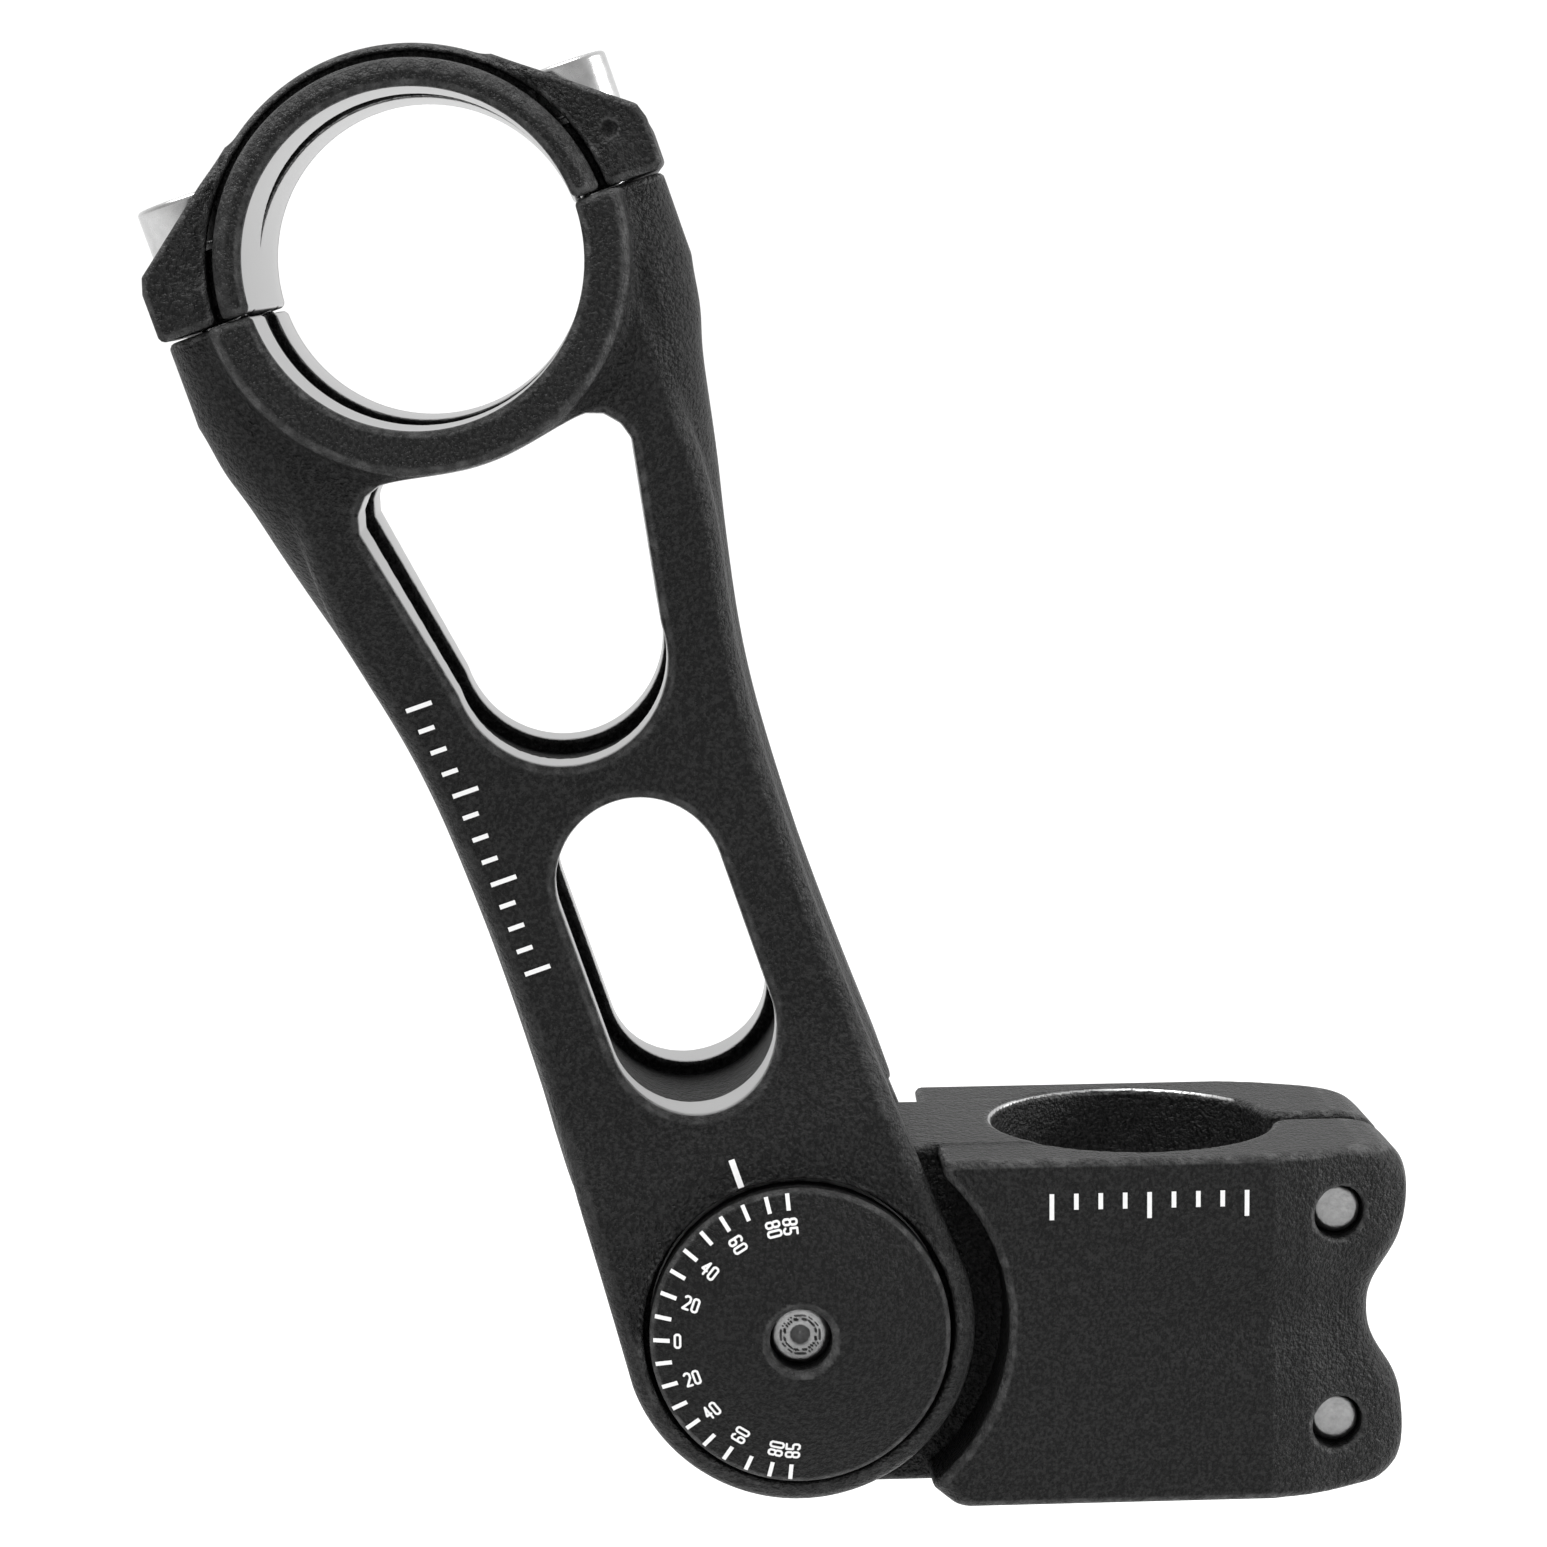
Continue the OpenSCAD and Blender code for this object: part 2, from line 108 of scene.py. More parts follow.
# camera at the photograph's viewing angle, in metres and degrees
CAMERA_AT = (-0.0531, -0.3791, 0.1225)
CAMERA_PITCH, CAMERA_YAW, CAMERA_ROLL = 7.70, 2.56, -0.65
CAMERA_LENS, SENSOR_WIDTH, CLIP_NEAR, CLIP_FAR = 88.64, 36.0, 0.02, 20

# studio: half width and glow of the floor; then the backdrop's strength in front of the part and
# behind it, and the world Y between which it fades
FLOOR_HALF, FLOOR_GLOW = 6.0, 0.72
BACKDROP_FRONT, BACKDROP_BACK = 0.62, 1.08
BACKDROP_Y0, BACKDROP_Y1 = -0.5, 0.6
LIGHT_TARGET = (-0.03, 0.0, 0.06)


# ---- distance field arithmetic ---------------------------------------------

def join(a, b, k):
    """Union with a smooth blend of width k."""
    h = np.clip(0.5 + 0.5 * (b - a) / k, 0, 1)
    return b + (a - b) * h - k * h * (1 - h)


def keep(a, b, r):
    """Intersection whose edge is rounded to radius r."""
    return np.minimum(np.maximum(a, b), -r) + np.hypot(np.maximum(a + r, 0), np.maximum(b + r, 0))


def cut(a, b, r):
    """a without b, with the rim rounded to radius r."""
    return keep(a, -b, r)


def ease(s):
    """Smooth step from 0 at s = 0 to 1 at s = 1."""
    t = np.clip(s, 0, 1)
    return t * t * (3 - 2 * t)


def box2(x, y, cx, cy, hx, hy, r=0.0):
    """Rectangle about (cx, cy) with half sizes hx, hy and corner radius r."""
    dx, dy = np.abs(x - cx) - hx + r, np.abs(y - cy) - hy + r
    return np.minimum(np.maximum(dx, dy), 0) + np.hypot(np.maximum(dx, 0), np.maximum(dy, 0)) - r


def polygon(x, y, pts):
    """Signed distance to a closed polygon."""
    d2 = np.full(np.broadcast(x, y).shape, 1e9, np.float32)
    inside = np.zeros(d2.shape, bool)
    for (ax, ay), (bx, by) in zip(pts, pts[1:] + pts[:1]):
        ex, ey = bx - ax, by - ay
        wx, wy = x - ax, y - ay
        t = np.clip((wx * ex + wy * ey) / (ex * ex + ey * ey), 0, 1)
        d2 = np.minimum(d2, (wx - t * ex) ** 2 + (wy - t * ey) ** 2)
        if ay != by:
            side = (y >= min(ay, by)) & (y < max(ay, by))
            inside ^= side & (wx < wy * ex / ey)
    return np.where(inside, -np.sqrt(d2), np.sqrt(d2))


def hexagon(x, y, af):
    """Hexagon, af across flats."""
    return np.maximum(np.maximum(np.abs(y), np.abs(0.8660254 * x + 0.5 * y)),
                      np.abs(0.8660254 * x - 0.5 * y)) - af / 2


# ---- arm ---------------------------------------------------------------------

def arm_w(v):
    """Half width of the arm in the side view."""
    low = SWELL * (np.maximum(SWELL_V - v, 0) / SWELL_V) ** 1.5
    return np.minimum(TOP_W, WAIST_W + low + FLARE * (v - FLARE_V + np.hypot(v - FLARE_V, FLARE_SOFT)))


def arm_t(v):
    """Half thickness of the arm across the bike."""
    low = WAIST_T + (EAR_Y - WAIST_T) * ease((TAPER_V - v) / TAPER_LEN)
    return low + GROW_T * ease(np.clip((v - GROW_V) / GROW_LEN, 0, 1) ** 1.3)


def upper_window(u, v, g=0.0):
    """Fan shaped window under the bar clamp, grown by g."""
    pts = [(-10.2, 69), (-13.6, 87.5), (-13.1, 89.2), (-11.9, 90.6), (-10.3, 91.2),
           (10.3, 91.2), (11.9, 90.6), (13.1, 89.2), (13.6, 87.5), (10.2, 69)]
    win = np.minimum(np.hypot(u, v - UPPER_END_V) - UPPER_END_R, polygon(u, v, pts)) - g
    return keep(win, RING_R - g * 0.6 - np.hypot(u, v - ARM_LEN), 1.2)


def lower_window(u, v, g=0.0):
    """Slot shaped window above the ears, grown by g."""
    return np.hypot(u, v - np.clip(v, LOWER_START_V, LOWER_END_V)) - LOWER_R - g


def arm_field(u, y, v):
    """The forged arm; v runs from the pivot to the bar bore, u across it."""
    a = np.abs(y)
    au = np.abs(u)
    low = np.hypot(u, np.minimum(v, 0))
    edge = np.where(v > 0, au, low)
    # front and back plates with the two ears
    half_w = arm_w(np.maximum(v, 0))
    plate_w = join(half_w, np.full_like(v, PLATE_W_MAX), 1.2)
    plate = keep(edge - plate_w, a - arm_t(v) + 0.02, 1.7)
    # the middle of the forging, proud of the plates, which grows into the bolt columns
    mid_w = half_w + 0.7 * ease((v - 8) / 14) * (1 - ease((v - 80) / 18))
    hollow = 2.2 * ease((v - 84) / 16) * np.exp(-(y / 6.5) ** 2)
    mid_w = mid_w - hollow + 0.35 * np.exp(-((v - 97) / 3) ** 2)
    mid_t = np.minimum(arm_t(v) - 2.4, 12.6) + 6.5 * ease((v - 77) / 17)
    mid_t = np.minimum(mid_t, 19.1)
    mid = keep(edge - mid_w, a - mid_t, 5.0)
    mid = np.maximum(mid, 6 - v)
    body = join(plate, mid, 0.5)
    # ring for the handlebar
    r_bar = np.hypot(u, v - ARM_LEN)
    ring = keep(r_bar - RING_R, a - HALF_W, 1.0)
    body = join(body, ring, 1.6)
    body = keep(body, v - PART_V, 0.6)
    # windows, with the recess in the middle of their walls
    for win, half in ((upper_window, UPPER_RECESS_Y), (lower_window, LOWER_RECESS_Y)):
        body = cut(body, win(u, v), 0.9)
        body = cut(body, keep(win(u, v, WINDOW_RECESS), a - half, 0.4), 0.35)
    body = cut(body, r_bar - BAR_R, 0.6)
    body = cut(body, keep(r_bar - BAR_R - BORE_RECESS, a - BORE_RECESS_Y, 0.3), 0.3)
    # fork, disc recesses, hub holes
    body = cut(body, keep(a - LUG_Y - 0.1, v - FORK_V, 1.2), 0.5)
    r_piv = np.hypot(u, v)
    body = cut(body, np.maximum(r_piv - DISC_R - 0.6, FLOOR_Y - a), 0.35)
    body = cut(body, r_piv - HUB_R - FIT, 0.3)
    holes = np.maximum(np.hypot(au - BOLT_U, a - BOLT_Y) - M5_R - FIT, PART_V - 12.5 - v)
    return cut(body, holes, 0.3)


def arm_bare(u, y, v):
    """Below zero where the coat was machined away."""
    a = np.abs(y)
    ends = np.maximum(BORE_RECESS_Y + 0.05 - a, a - HALF_W + BARE_RIM)
    bore = np.maximum(np.hypot(u, v - ARM_LEN) - BAR_R - 0.25, ends)
    upper = np.maximum(upper_window(u, v) - 0.1, UPPER_RECESS_Y + 0.05 - a)
    lower = np.maximum(lower_window(u, v) - 0.1, LOWER_RECESS_Y + 0.05 - a)
    return np.minimum(bore, np.minimum(upper, lower))


# ---- bar cap -----------------------------------------------------------------

def cap_field(u, y, v):
    """The removable half of the bar clamp, in the arm's own coordinates."""
    a, au = np.abs(y), np.abs(u)
    r_bar = np.hypot(u, v - ARM_LEN)
    pts = [(-BOSS_U, CAP_V - 6), (BOSS_U, CAP_V - 6), (BOSS_U, CAP_V + 4.8), (BOSS_U - 0.5, ARM_LEN + 6.8),
           (13.2, ARM_LEN + 15.6), (-13.2, ARM_LEN + 15.6), (0.5 - BOSS_U, ARM_LEN + 6.8),
           (-BOSS_U, CAP_V + 4.8)]
    side = join(polygon(u, v, pts) + 0.05, r_bar - RIDGE_R, 0.8)
    boss = ease((au - 13.5) / 3.5)
    body = keep(side, a - RIDGE_Y - 1.5 * boss, 1.5 - 1.05 * boss)
    # bolt column in front of the wall
    column = box2(au, a, 19.9, 10, 5.15, 9.75, 4.6)
    body = join(body, keep(column, v - CAP_V - 4.6, 1.6), 0.9)
    # groove behind the front lip, then the lip
    groove = np.maximum(r_bar - LIP_R - 0.25, RIDGE_Y - 1.1 - a)
    body = cut(body, groove, 0.4)
    lip = keep(r_bar - LIP_R + 0.5, a - HALF_W, 1.5)
    body = join(body, lip, 0.3)
    body = keep(body, CAP_V - v, 0.6)
    body = cut(body, r_bar - BAR_R, 0.6)
    body = cut(body, keep(r_bar - BAR_R - 1.1, a - cap_lens(u, v), 0.3), 0.3)
    # seats and holes of the bolts
    bolt = np.hypot(au - BOLT_U, a - BOLT_Y)
    body = cut(body, np.maximum(bolt - M5_HEAD_R - 0.2, SEAT_V - v), 0.2)
    body = cut(body, bolt - M5_R - 0.25, 0.3)
    pit = np.sqrt((u - 21.3) ** 2 + (y + 19.75) ** 2 + (v - CAP_V - 5.0) ** 2) - 0.8
    return cut(body, pit, 0.3)


def cap_lens(u, v):
    """Half width of the crescent groove in the bore of the cap."""
    turn = np.arctan2(v - ARM_LEN, u) - math.pi / 2
    return 5.2 * (1 - (turn / 1.15) ** 2)


def cap_bare(u, y, v):
    """Below zero on the machined bands of the cap's bore."""
    a = np.abs(y)
    r_bar = np.hypot(u, v - ARM_LEN)
    return np.maximum(np.maximum(r_bar - BAR_R - 0.25, cap_lens(u, v) - a), a - HALF_W + BARE_RIM)


# ---- steerer clamp -------------------------------------------------------------

def at_pivot_xz(x, z, turn=0.0):
    """Coordinates about the pivot, turned by turn degrees."""
    c, s = math.cos(math.radians(turn)), math.sin(math.radians(turn))
    px, pz = x + PIVOT_OUT, z - PIVOT_Z
    return px * c + pz * s, -px * s + pz * c


def clamp_side(x, z):
    """Side view of the clamp: a block with a notch between two lobes round the pinch bolts."""
    block = polygon(x, z, [(-30, 8.8), (-20.2, 0.5), (-18.2, -3), (PINCH_X, -3), (PINCH_X, CLAMP_H + 3),
                           (-30, CLAMP_H + 3)])
    side = join(block, box2(x, z, 10.0, PINCH_Z, WAIST_X - 10.0, PINCH_DZ, 1.0), 0.5)
    for s, edge in ((-1, 0.0), (1, CLAMP_H)):
        lobe = np.hypot(x - PINCH_X, z - PINCH_Z - s * PINCH_DZ) - LOBE_R
        corner = np.hypot(x - REAR_X + 5.4 - 0.2 * s, z - edge + s * 5.2) - 5.2
        side = join(side, join(lobe, corner, 0.8), 3.4)
    return side


def clamp_plan(x, a):
    """Plan of the clamp: flat flanks that round off towards the rear."""
    return polygon(x, a, [(-40, -5), (-40, FLANK_Y), (11.8, FLANK_Y), (15.6, 16.5), (PINCH_X, 15.2),
                          (23.0, 13.8), (REAR_X - 0.8, 12.4), (REAR_X + 0.3, 9.8), (REAR_X + 0.3, -5)])


def clamp_field(x, y, z):
    """The steerer clamp with its lug, bore, slot and pinch bolt holes."""
    a = np.abs(y)
    # a soft valley runs along each flank to the notch
    valley = 1.5 * ease((x + 8) / 30) * np.exp(-((z - PINCH_Z - 0.3) / 4.6) ** 2)
    block = keep(clamp_side(x, z), (clamp_plan(x, a) + valley) * 0.95, 1.8)
    block = keep(block, np.maximum(-z, z - CLAMP_H), 0.75)
    # relief for the ears
    px, pz = at_pivot_xz(x, z)
    relief = np.hypot(px, pz) - RELIEF_R
    for s, limit in ((1, LIMIT_LEAN), (-1, LIMIT_FOLD)):
        qx, qz = at_pivot_xz(x, z, s * limit)
        reach = arm_w(np.float32(14)) + 0.35
        wedge = np.maximum(np.maximum(-8 - qx, qx - reach), np.maximum(-s * qz, s * qz - 24))
        relief = np.minimum(relief, wedge)
    relief = keep(relief, LUG_Y - a, 0.4)
    block = cut(block, relief, 0.8)
    # lug between the ears
    disc = np.maximum(np.hypot(px, pz) - LUG_R, z - CLAMP_H)
    web = box2(x, z, -19.5, (LUG_BASE + CLAMP_H) / 2, 9.5, (CLAMP_H - LUG_BASE) / 2)
    lug = keep(np.minimum(disc, web), a - LUG_Y, 0.5)
    body = join(block, lug, 0.4)
    # bore, pinch slot
    r = np.hypot(x, y)
    slot = np.maximum(a - SLOT_W / 2, STEERER_R - 2 - x)
    opening = join(r - STEERER_R, slot, 1.6)
    body = cut(body, opening, 0.7)
    # pinch bolt holes and head seats
    for s in (-1, 1):
        hole = np.hypot(x - PINCH_X, z - PINCH_Z - s * PINCH_DZ)
        body = cut(body, hole - M5_R - 0.15, 0.3)
        body = cut(body, np.maximum(hole - M5_HEAD_R - 0.45, PINCH_SEAT - y), 0.35)
    pocket = np.maximum(hexagon(px, pz, KEY_AF + 2 * FIT), POCKET_Y - a)
    body = cut(body, pocket, 0.25)
    return cut(body, np.hypot(px, pz) - M6_R - 0.3, 0.25)


def clamp_bare(x, y, z):
    """Rim of the steerer bore, worn bright where the tube goes in."""
    depth = np.minimum(z, CLAMP_H - z)
    return np.maximum(np.hypot(x, y) - STEERER_R - 0.3, np.maximum(depth - 0.35, x - 12))


# ---- discs and bolts -----------------------------------------------------------

def disc_common(px, y, pz, side):
    """Disc with face teeth, hub and key; side is +1 or -1 along Y."""
    s = y * side
    r = np.hypot(px, pz)
    dome = np.hypot(r, s - DOME_Y + DOME_R) - DOME_R
    plate = keep(keep(r - DISC_R, dome, 0.45), 15.95 - s, 0.3)
    turn = np.arctan2(pz, px) * TEETH / (2 * math.pi)
    tooth = np.abs(turn - np.round(turn)) * 2 * math.pi * r / TEETH - 0.24 * r / 5 * 0.5
    teeth = np.maximum(np.maximum(-tooth, np.maximum(r - DISC_R + 0.4, HUB_R + 0.7 - r)),
                       np.maximum(15.15 - s, s - 16.2))
    hub = keep(r - HUB_R, np.maximum(LUG_Y + 0.3 - s, s - 16.5), 0.25)
    key = keep(hexagon(px, pz, KEY_AF), np.maximum(KEY_Y0 - s, s - LUG_Y - 0.6), 0.3)
    return np.minimum(np.minimum(plate, teeth), np.minimum(hub, key)), r, s


def dial_field(px, y, pz):
    """Near disc, with a cone round the end of the pivot bolt."""
    body, r, s = disc_common(px, y, pz, -1)
    body = cut(body, r - M6_R - FIT, 0.1)
    return cut(body, np.maximum(r - M6_R - 0.6 + (DOME_Y - s) * 0.9, DOME_Y - 1.2 - s), 0.15)


def lock_field(px, y, pz):
    """Far disc, with a counterbore for the head of the pivot bolt."""
    body, r, s = disc_common(px, y, pz, 1)
    body = cut(body, r - M6_R - 0.1, 0.2)
    return cut(body, np.maximum(r - M6_HEAD_R - 0.5, HEAD_Y - 0.8 - s), 0.35)


def screw_field(x, y, z, r, head_r, head_h, length, key, coned=False):
    """Socket head screw standing on z = 0, head up, with a rolled thread."""
    q = np.hypot(x, y)
    head = keep(q - head_r, np.maximum(-z, z - head_h), 0.45)
    turn = np.arctan2(y, x) / (2 * math.pi)
    pitch = 0.8 if r < 2.8 else 1.0
    wave = np.abs((z / pitch - turn) % 1 - 0.5)
    depth = 0.5 * wave * ease((-z - 3) / 1.0) * ease((z + length) / 1.2 + 0.6)
    shank = keep(q - r + depth, np.maximum(-z - length, z - 0.5), 0.55)
    body = np.minimum(head, shank)
    body = cut(body, np.maximum(hexagon(x, y, key), head_h * 0.45 - z), 0.2)
    if coned:
        end = z + length
        body = cut(body, (q - 1.0 + end * 0.9) * 0.7, 0.1)
        body = cut(body, box2(q, end, 1.75, 0, 0.16, 0.18), 0.06)
    return body


# ---- meshing -------------------------------------------------------------------

def mesh_points(field, lo, hi, voxel):
    """Closed quad mesh of the field's zero surface, its points moved onto the true surface."""
    n = [int(math.ceil((b - a) / voxel)) + 1 for a, b in zip(lo, hi)]
    axes = [np.float32(a) + np.arange(k, dtype=np.float32) * np.float32(voxel) for a, k in zip(lo, n)]
    grids = np.meshgrid(*axes, indexing="ij")
    d = np.clip(field(*grids), -3 * voxel, 3 * voxel).astype(np.float32)
    grid = openvdb.FloatGrid(3 * voxel)
    grid.copyFromArray(d)
    points, quads = grid.convertToQuads(0.0)
    p = points.astype(np.float64) * voxel + np.array(lo)
    step = 0.04
    for _ in range(3):
        value = field(*p.T)
        grad = gradient(field, p, step)
        size = np.maximum((grad ** 2).sum(1), 0.2)
        move = np.clip(value / size, -voxel * 0.5, voxel * 0.5)
        p = p - grad * move[:, None]
    return p, quads


def gradient(field, p, step):
    """Slope of the field at the points, by central differences."""
    out = np.zeros_like(p)
    for i in range(3):
        e = np.zeros(3)
        e[i] = step
        out[:, i] = (field(*(p + e).T) - field(*(p - e).T)) / (2 * step)
    return out


def edge_highlight_amount(field, p, step):
    """Amount of painted highlight: 1 on a tight outer edge, 0 on flats and hollows, from how fast the
    surface turns.
    """
    bend = -6 * field(*p.T)
    for e in np.eye(3) * step:
        bend = bend + field(*(p + e).T) + field(*(p - e).T)
    return np.clip(bend / step ** 2 - 0.15, 0, 1)


def make_piece(name, field, lo, hi, voxel, place, bare=None):
    """Mesh of the field, moved to the row frame by place, with its finish values on its points: the
    painted edge highlight and the bare metal mask.
    """
    p, quads = mesh_points(field, lo, hi, voxel)
    grad = gradient(field, p, 0.06)
    normals = grad / np.maximum(np.linalg.norm(grad, axis=1), 1e-6)[:, None]
    # painted highlight on rounded outer edges, by how sharply the surface bends
    edge_highlight = edge_highlight_amount(field, p, 0.4)
    mesh = bpy.data.meshes.new(name)
    world = p @ np.array(place.to_3x3()).T + np.array(place.translation)
    mesh.from_pydata([], [], [])
    mesh.vertices.add(len(p))
    mesh.vertices.foreach_set("co", (world * MM).astype(np.float32).ravel())
    mesh.loops.add(len(quads) * 4)
    mesh.loops.foreach_set("vertex_index", quads.astype(np.int32).ravel())
    mesh.polygons.add(len(quads))
    mesh.polygons.foreach_set("loop_start", np.arange(len(quads), dtype=np.int32) * 4)
    mesh.update(calc_edges=True)
    mesh.validate()
    mesh.polygons.foreach_set("use_smooth", np.ones(len(mesh.polygons), bool))
    turned = normals @ np.array(place.to_3x3()).T
    if len(mesh.vertices) == len(turned):
        mesh.normals_split_custom_set_from_vertices(turned.astype(np.float32))
    store(mesh, "edge_highlight", edge_highlight)
    store(mesh, "bare", bare(*p.T) if bare else np.full(len(p), 9.0))
    obj = bpy.data.objects.new(name, mesh)
    bpy.context.scene.collection.objects.link(obj)
    return obj


def store(mesh, name, values):
    """Save one value per point for the materials."""
    layer = mesh.attributes.new(name, "FLOAT", "POINT")
    layer.data.foreach_set("value", np.asarray(values, np.float32))


# ---- materials -----------------------------------------------------------------

class Nodes:
    """A small builder for one material's node tree."""

    def __init__(self, name):
        self.mat = bpy.data.materials.new(name)
        self.mat.use_nodes = True
        self.tree = self.mat.node_tree
        self.bsdf = self.tree.nodes["Principled BSDF"]
        self.coords = self.tree.nodes.new("ShaderNodeTexCoord").outputs["Object"]

    def add(self, kind, inputs=None, **props):
        node = self.tree.nodes.new(kind)
        for k, v in props.items():
            setattr(node, k, v)
        for k, v in (inputs or {}).items():
            self.put(node.inputs[k], v)
        return node

    def put(self, socket, value):
        if isinstance(value, bpy.types.NodeSocket):
            self.tree.links.new(value, socket)
        else:
            socket.default_value = value

    def noise(self, scale, detail=2.0, rough=0.5, stretch=None):
        vec = self.coords
        if stretch:
            vec = self.add("ShaderNodeMapping", {"Vector": vec, "Scale": stretch}).outputs["Vector"]
        return self.add("ShaderNodeTexNoise", {"Vector": vec, "Scale": scale, "Detail": detail,
                                               "Roughness": rough}).outputs["Fac"]

    def ramp(self, value, a, b, lo, hi):
        node = self.add("ShaderNodeMapRange", {0: value, 1: a, 2: b, 3: lo, 4: hi},
                        interpolation_type="SMOOTHSTEP")
        return node.outputs[0]

    def math(self, op, a, b=0.0):
        return self.add("ShaderNodeMath", {0: a, 1: b}, operation=op).outputs[0]

    def mix(self, fac, a, b):
        node = self.add("ShaderNodeMix", data_type="FLOAT")
        self.put(node.inputs[0], fac)
        self.put(node.inputs[2], a)
        self.put(node.inputs[3], b)
        return node.outputs[0]

    def mix_colour(self, fac, a, b):
        node = self.add("ShaderNodeMix", data_type="RGBA")
        self.put(node.inputs[0], fac)
        self.put(node.inputs[6], a)
        self.put(node.inputs[7], b)
        return node.outputs[2]

    def attribute(self, name):
        return self.add("ShaderNodeAttribute", attribute_name=name).outputs["Fac"]

    def bump(self, height, strength, distance):
        node = self.add("ShaderNodeBump", {"Height": height, "Strength": strength, "Distance": distance})
        return node.outputs["Normal"]

    def set(self, **values):
        for k, v in values.items():
            self.put(self.bsdf.inputs[k.replace("_", " ")], v)


def grey(v, warm=0.0):
    return (v * (1 + warm), v, v * (1 - warm), 1.0)


def coat_material(name, grain=1.0):
    """Satin black coat with a fine sandy grain, bare machined metal where "bare" is below zero."""
    n = Nodes(name)
    fine = n.noise(GRAIN_FINE, 2.0, 0.6)
    coarse = n.noise(GRAIN_COARSE, 3.0, 0.55)
    cloud = n.noise(CLOUDS, 2.0)
    # mask of the painted edge highlight, broken into patches by noise
    edge_highlight = n.ramp(n.attribute("edge_highlight"), 0.2, 0.9, 0.0, 1.0)
    edge_highlight_mask = n.math("MULTIPLY", edge_highlight, n.ramp(n.noise(HIGHLIGHT_PATCHES, 3.0), 0.4, 0.7, 0.2, 0.6))
    paint = n.mix_colour(cloud, grey(COAT_BASE * 0.9, -0.02), grey(COAT_BASE * 1.3, -0.03))
    paint = n.mix_colour(n.ramp(fine, 0.42, 0.64, 0.0, 0.8 * grain), paint, grey(COAT_BASE * 7))
    # painted highlight: rounded outer edges lightened towards grey
    paint = n.mix_colour(edge_highlight_mask, paint, grey(0.10))
    metal_grain = n.noise(1.0, 3.0, 0.6, stretch=MACHINED_STRETCH)
    metal = n.mix_colour(metal_grain, grey(0.30), grey(0.50))
    bare = n.ramp(n.attribute("bare"), -0.07, 0.07, 1.0, 0.0)
    n.set(Base_Color=n.mix_colour(bare, paint, metal), Metallic=bare)
    paint_rough = n.math("ADD", n.math("MULTIPLY", fine, 0.16), COAT_ROUGH - 0.08)
    metal_rough = n.math("ADD", n.math("MULTIPLY", metal_grain, 0.2), 0.24)
    n.set(Roughness=n.mix(bare, paint_rough, metal_rough))
    height = n.math("ADD", fine, n.math("MULTIPLY", coarse, 0.7))
    strength = n.mix(bare, grain, 0.04)
    n.set(Normal=n.bump(height, strength, GRAIN_DEPTH))
    n.bsdf.inputs["Specular IOR Level"].default_value = COAT_SPECULAR
    return n.mat


def metal_material(name, dark, light, rough, scale=700, bump=0.1):
    """Plated steel: mottled tone and roughness with faint stains."""
    n = Nodes(name)
    streak = n.noise(scale, 3.0, 0.6)
    stain = n.noise(160, 3.0, 0.6)
    tone = n.mix_colour(streak, grey(dark), grey(light))
    tone = n.mix_colour(n.ramp(stain, 0.55, 0.8, 0.0, 0.35), tone, grey(dark * 0.6, 0.03))
    n.set(Base_Color=tone, Metallic=1.0)
    n.set(Roughness=n.math("ADD", n.math("MULTIPLY", streak, 0.18), rough - 0.09))
    n.set(Normal=n.bump(streak, bump, 0.0001))
    return n.mat


def print_material(name):
    """White screen print: slightly uneven ink."""
    n = Nodes(name)
    ink = n.noise(2500, 2.0, 0.6)
    n.set(Base_Color=n.mix_colour(ink, grey(0.78), grey(0.92)), Roughness=n.ramp(ink, 0.3, 0.7, 0.4, 0.6))
    n.set(Normal=n.bump(ink, 0.1, 0.00005))
    return n.mat


def floor_material():
    """Plain pale studio floor."""
    n = Nodes("studio_floor")
    cloud = n.noise(3, 2.0)
    n.set(Base_Color=n.mix_colour(cloud, grey(0.38), grey(0.42)), Roughness=0.7)
    n.set(Emission_Color=grey(1.0), Emission_Strength=FLOOR_GLOW)
    return n.mat


# ---- assembly --------------------------------------------------------------------

LEAN = Matrix.Rotation(math.radians(-ARM_LEAN), 4, "Y")
PIVOT = Matrix.Translation((-PIVOT_OUT, 0, PIVOT_Z))
ON_ARM = PIVOT @ LEAN


def finish_piece(obj, material, body, slot, *nodes):
    """Give a piece its material and its body, and hide the CAD nodes it stands for; slot is not used."""
    obj.data.materials.append(material)
    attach(obj, body)
    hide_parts(*nodes)
    return obj


def pick(full_and_quick):
    return full_and_quick[0]


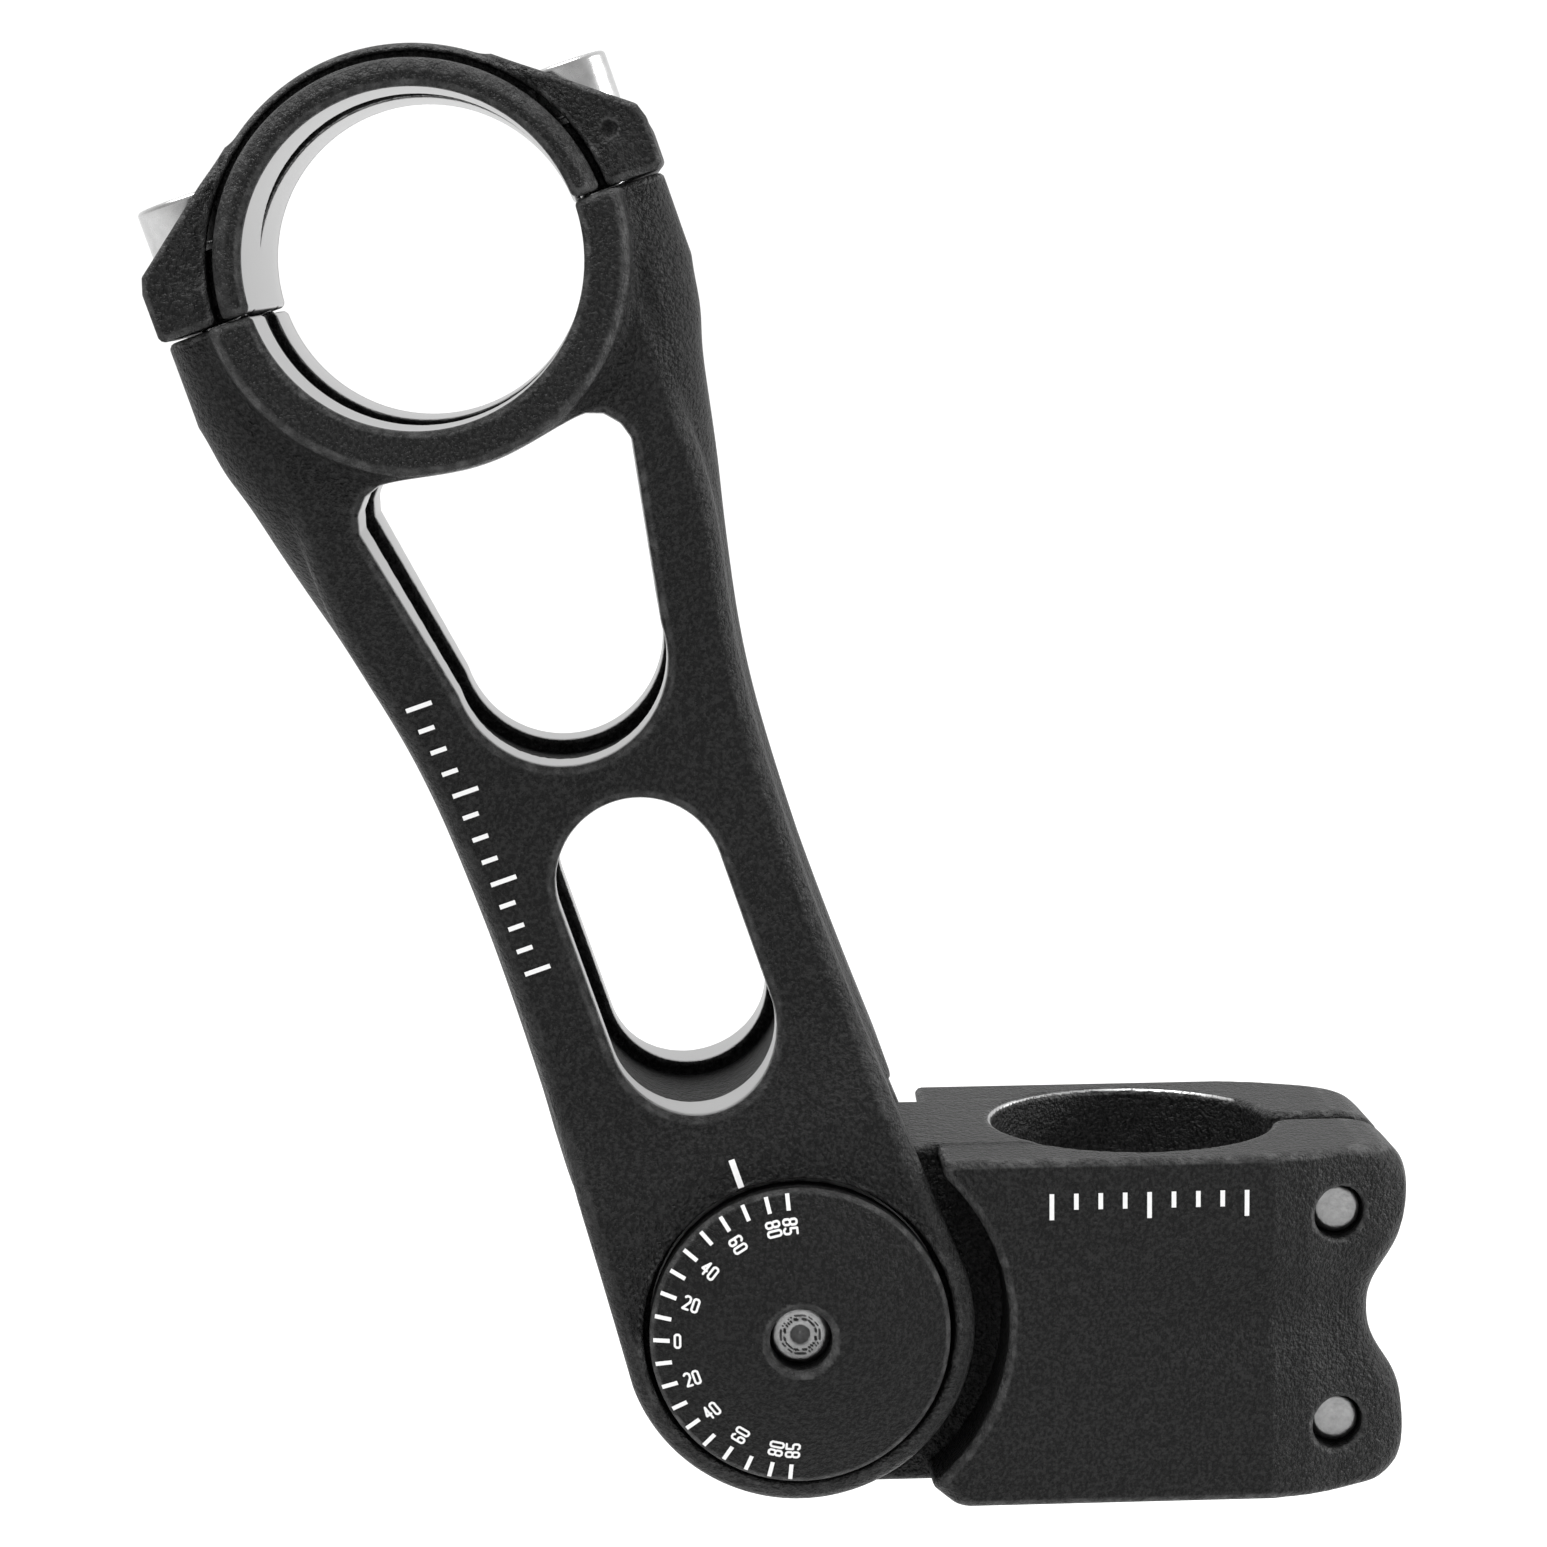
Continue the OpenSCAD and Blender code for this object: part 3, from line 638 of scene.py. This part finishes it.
def build_forgings(coat, dial_coat):
    v = pick(FORGING_VOXEL)
    arm = make_piece("arm_forging", arm_field, (-26, -22.6, -18.6), (26, 22.6, 111), v, ON_ARM, arm_bare)
    finish_piece(arm, coat, "arm_body", "black_coat", "arm")
    cap = make_piece("cap_forging", cap_field, (-26.5, -22.6, 110.2), (26.5, 22.6, 131.4),
                     v * CAP_VOXEL_SCALE, ON_ARM, cap_bare)
    finish_piece(cap, coat, "cap_body", "black_coat", "bar_cap")
    clamp = make_piece("clamp_forging", clamp_field, (-53, -18.6, -1), (27.2, 18.6, 36), v,
                       Matrix.Identity(4), clamp_bare)
    finish_piece(clamp, coat, "clamp_body", "black_coat", "steerer_clamp")
    d = pick(DISC_VOXEL)
    dial = make_piece("dial_face", dial_field, (-15.5, -22.3, -15.5), (15.5, -6.8, 15.5), d, PIVOT)
    finish_piece(dial, dial_coat, "dial_body", "dial_black", "dial_disc")
    lock = make_piece("lock_face", lock_field, (-15.5, 6.8, -15.5), (15.5, 22.3, 15.5), d, PIVOT)
    finish_piece(lock, dial_coat, "lock_body", "dial_black", "lock_disc")


def upright(x, y, z):
    """Place of a screw whose head points to +Y."""
    return Matrix.Translation((x, y, z)) @ Matrix.Rotation(math.radians(-90), 4, "X")


def build_screws(steel, dull):
    voxel = pick(SCREW_VOXEL)
    m5 = lambda length: (lambda x, y, z: screw_field(x, y, z, M5_R, M5_HEAD_R, M5_HEAD_H, length, 4))
    for i, (u, y) in enumerate([(s * BOLT_U, t * BOLT_Y) for s in (-1, 1) for t in (-1, 1)]):
        place = ON_ARM @ Matrix.Translation((u, y, SEAT_V + 0.5))
        bolt = make_piece(f"cap_bolt_{i + 1}", m5(CAP_BOLT_LEN), (-5, -5, -18.8), (5, 5, 5.8),
                          voxel, place)
        finish_piece(bolt, steel, "cap_body", "bolt_steel", "cap_bolts")
    for name, s in (("pinch_bolt_upper", 1), ("pinch_bolt_lower", -1)):
        place = upright(PINCH_X, PINCH_SEAT, PINCH_Z + s * PINCH_DZ)
        bolt = make_piece(name + "_screw", m5(PINCH_BOLT_LEN), (-5, -5, -23.0), (5, 5, 5.8),
                          voxel, place)
        body = "pinch_upper_body" if s > 0 else "pinch_lower_body"
        finish_piece(bolt, dull, body, "bolt_steel", name)
    length = HEAD_Y + BOLT_END_Y
    main = lambda x, y, z: screw_field(x, y, z, M6_R, M6_HEAD_R, M6_HEAD_H, length, 5, True)
    place = upright(-PIVOT_OUT, HEAD_Y, PIVOT_Z)
    bolt = make_piece("pivot_screw", main, (-5.8, -5.8, -length - 0.8), (5.8, 5.8, 6.8), voxel, place)
    finish_piece(bolt, dull, "bolt_body", "bolt_steel", "pivot_bolt")


def paint_cad_nodes(materials):
    for name, mat in materials.items():
        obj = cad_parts[name]
        obj.data.materials.clear()
        obj.data.materials.append(mat)


def build_camera():
    cam = bpy.data.objects.new("camera", bpy.data.cameras.new("camera"))
    bpy.context.scene.collection.objects.link(cam)
    cam.data.sensor_width = SENSOR_WIDTH
    cam.data.lens = CAMERA_LENS
    cam.data.clip_start, cam.data.clip_end = CLIP_NEAR, CLIP_FAR
    pitch, yaw, roll = (math.radians(d) for d in (CAMERA_PITCH, CAMERA_YAW, CAMERA_ROLL))
    look = Matrix.Rotation(-yaw, 4, "Z") @ Matrix.Rotation(math.radians(90) - pitch, 4, "X")
    cam.matrix_world = Matrix.Translation(CAMERA_AT) @ look @ Matrix.Rotation(roll, 4, "Z")
    bpy.context.scene.camera = cam


def area_light(name, location, target, size, power):
    data = bpy.data.lights.new(name, "AREA")
    data.energy = power
    data.size = size
    obj = bpy.data.objects.new(name, data)
    obj.location = location
    obj.rotation_mode = "QUATERNION"
    obj.rotation_quaternion = (Vector(target) - Vector(location)).to_track_quat("-Z", "Y")
    bpy.context.scene.collection.objects.link(obj)
    return obj


def build_studio(floor_z):
    scene = bpy.context.scene
    scene.view_settings.view_transform = "Standard"
    world = bpy.data.worlds.new("studio")
    scene.world = world
    world.use_nodes = True
    background = world.node_tree.nodes["Background"]
    background.inputs["Color"].default_value = (1, 1, 1, 1)
    # bright backdrop behind the part, dimmer in front of it so that the black coat stays black
    tree = world.node_tree
    split = tree.nodes.new("ShaderNodeSeparateXYZ")
    tree.links.new(tree.nodes.new("ShaderNodeTexCoord").outputs["Generated"], split.inputs[0])
    fade = tree.nodes.new("ShaderNodeMapRange")
    tree.links.new(split.outputs["Y"], fade.inputs[0])
    for i, value in enumerate((BACKDROP_Y0, BACKDROP_Y1, BACKDROP_FRONT, BACKDROP_BACK)):
        fade.inputs[i + 1].default_value = value
    tree.links.new(fade.outputs[0], background.inputs["Strength"])
    mesh = bpy.data.meshes.new("floor")
    r = FLOOR_HALF
    mesh.from_pydata([(-r, -r, floor_z), (r, -r, floor_z), (r, r, floor_z), (-r, r, floor_z)], [],
                     [(0, 1, 2, 3)])
    floor = bpy.data.objects.new("floor", mesh)
    floor.data.materials.append(floor_material())
    scene.collection.objects.link(floor)
    area_light("key", (-0.25, -0.1, 0.95), LIGHT_TARGET, 0.5, 12)
    area_light("side", (0.9, 0.1, 0.35), LIGHT_TARGET, 0.4, 8)


def main():
    build_camera()
    build_studio(cad_box[0].z - FLOOR_DROP)
    coat = coat_material("black_coat")
    dial_coat = coat_material("dial_coat", 0.8)
    steel = metal_material("zinc_steel", 0.42, 0.62, 0.26)
    dull = metal_material("rough_steel", 0.16, 0.46, 0.42, 1400, bump=0.8)
    dark = metal_material("tooth_steel", 0.25, 0.42, 0.42)
    spring = metal_material("spring_steel", 0.30, 0.50, 0.35)
    ink = print_material("white_print")
    build_forgings(coat, dial_coat)
    build_screws(steel, dull)
    paint_cad_nodes({
        "tooth_ring_left": dark, "tooth_ring_right": dark, "cap_washers": steel,
        "pivot_washer": steel, "spring_left": spring, "spring_right": spring,
        "dial_ticks": ink, "dial_numbers": ink, "index_mark": ink, "arm_scale": ink,
        "clamp_scale": ink})


main()
